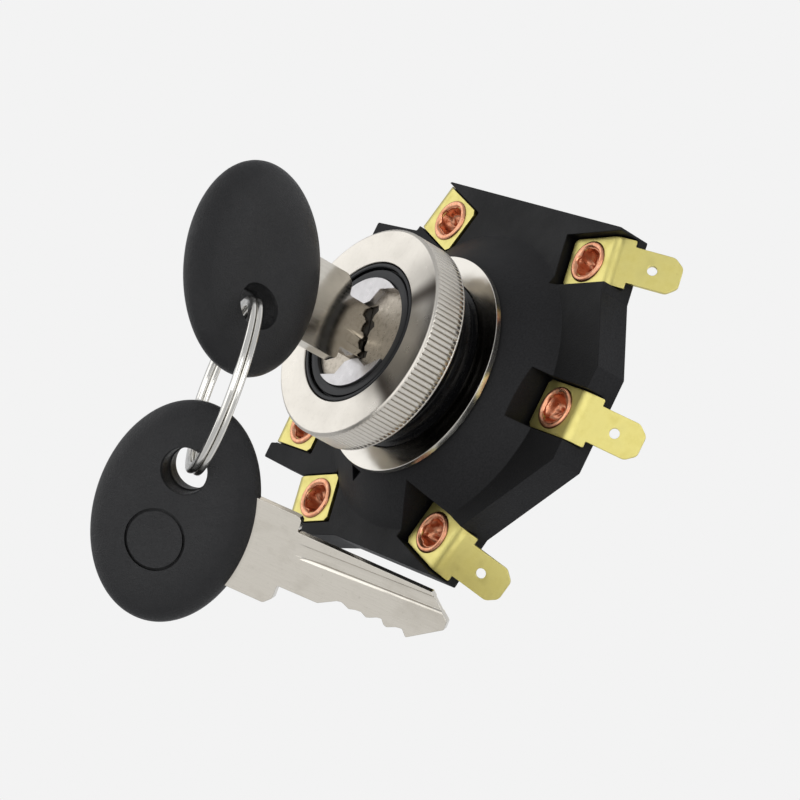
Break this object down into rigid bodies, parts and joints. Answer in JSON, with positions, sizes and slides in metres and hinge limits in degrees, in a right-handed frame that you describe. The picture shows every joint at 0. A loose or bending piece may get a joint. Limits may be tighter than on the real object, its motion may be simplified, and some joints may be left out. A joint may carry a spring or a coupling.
{
  "type": "selector key switch",
  "caption": "Panel-mount key-operated rotary selector switch with riveted blade terminals, knurled ring nut, and two moulded-head keys on a split ring.",
  "frame": {"origin": "on the lock axis, at the front face of the panel washer, which is where the panel's rear face sits", "axes": "+Z along the lock axis, out of the panel towards the key; +Y across the moulded base towards the single middle terminal; +X completes a right-handed frame"},
  "size_m": [0.0911, 0.0868, 0.0754],
  "materials": {
    "base_housing": "moulded, slightly grained",
    "seal_ring": "matt",
    "rear_cover": "moulded, slightly grained",
    "cover_screws": "zinc plated",
    "threaded_barrel": "glossy black finish on die-cast metal",
    "lock_shell": "satin black finish on die-cast metal",
    "panel_washer": "satin nickel plate",
    "ring_nut": "satin nickel plate",
    "lock_plug": "nickel plate",
    "plug_face_cap": "polished nickel",
    "wafer_tumblers": "plain stamped",
    "wafer_springs": "bright",
    "plug_retaining_clip": "plain",
    "switch_rotor": "moulded, natural colour",
    "contact_bridge": "plain stamped",
    "contact_springs": "bright",
    "return_spring": "bright",
    "detent_ball": "polished",
    "detent_spring": "bright",
    "terminal_1": "plain stamped strip",
    "terminal_2": "plain stamped strip",
    "terminal_3": "plain stamped strip",
    "terminal_4": "plain stamped strip",
    "terminal_5": "plain stamped strip",
    "terminal_6": "plain stamped strip",
    "terminal_7": "plain stamped strip",
    "terminal_eyelets": "copper, rolled",
    "fixed_contact_1": "copper strip",
    "fixed_contact_2": "copper strip",
    "fixed_contact_3": "copper strip",
    "fixed_contact_4": "copper strip",
    "fixed_contact_5": "copper strip",
    "fixed_contact_6": "copper strip",
    "fixed_contact_7": "copper strip",
    "key_blade": "nickel silver, fine grain",
    "key_head": "matt, slightly rubbery",
    "key_ring": "bright nickel",
    "spare_key_blade": "nickel silver, fine grain",
    "spare_key_head": "matt, slightly rubbery"
  },
  "bodies": {
    "switch_body": {"base_housing": "base_housing", "seal_ring": "seal_ring", "rear_cover": "rear_cover", "cover_screws": "cover_screws", "threaded_barrel": "threaded_barrel", "lock_shell": "lock_shell", "panel_washer": "panel_washer", "return_spring": "return_spring", "terminal_eyelets": "terminal_eyelets", "terminal_1": "terminal_1", "terminal_2": "terminal_2", "terminal_3": "terminal_3", "terminal_4": "terminal_4", "terminal_5": "terminal_5", "terminal_6": "terminal_6", "terminal_7": "terminal_7", "fixed_contact_1": "fixed_contact_1", "fixed_contact_2": "fixed_contact_2", "fixed_contact_3": "fixed_contact_3", "fixed_contact_4": "fixed_contact_4", "fixed_contact_5": "fixed_contact_5", "fixed_contact_6": "fixed_contact_6", "fixed_contact_7": "fixed_contact_7"},
    "nut": {"ring_nut": "ring_nut"},
    "lock_rotor": {"lock_plug": "lock_plug", "plug_face_cap": "plug_face_cap", "wafer_tumblers": "wafer_tumblers", "wafer_springs": "wafer_springs", "plug_retaining_clip": "plug_retaining_clip", "switch_rotor": "switch_rotor", "contact_bridge": "contact_bridge", "contact_springs": "contact_springs", "detent_spring": "detent_spring"},
    "detent": {"detent_ball": "detent_ball"},
    "key": {"key_blade": "key_blade", "key_head": "key_head"},
    "ring": {"key_ring": "key_ring"},
    "spare_key": {"spare_key_blade": "spare_key_blade", "spare_key_head": "spare_key_head"}
  },
  "joints": [
    {"name": "key_turn", "type": "hinge", "parent": "switch_body", "child": "lock_rotor", "pos_m": [0, 0, 0], "axis": [0, 0, 1], "range_deg": [-90, 0]},
    {"name": "nut_travel", "type": "slide", "parent": "switch_body", "child": "nut", "axis": [0, 0, 1], "range_m": [-0.0025, 0.002]},
    {"name": "detent_press", "type": "slide", "parent": "lock_rotor", "child": "detent", "axis": [0, -1, 0], "range_m": [0, 0.00035]},
    {"name": "key_slide", "type": "slide", "parent": "lock_rotor", "child": "key", "axis": [0, 0, 1], "range_m": [0, 0.032]},
    {"name": "ring_swing", "type": "hinge", "parent": "key", "child": "ring", "pos_m": [0.00652, 0.00294, 0.0361], "axis": [-0.4362, 0.788, 0.4345], "range_deg": [-10, 10]},
    {"name": "spare_key_swing", "type": "hinge", "parent": "ring", "child": "spare_key", "pos_m": [0.03256, 0.00744, 0.03527], "axis": [-0.1726, -0.8932, -0.4152], "range_deg": [-10, 10]}
  ]
}
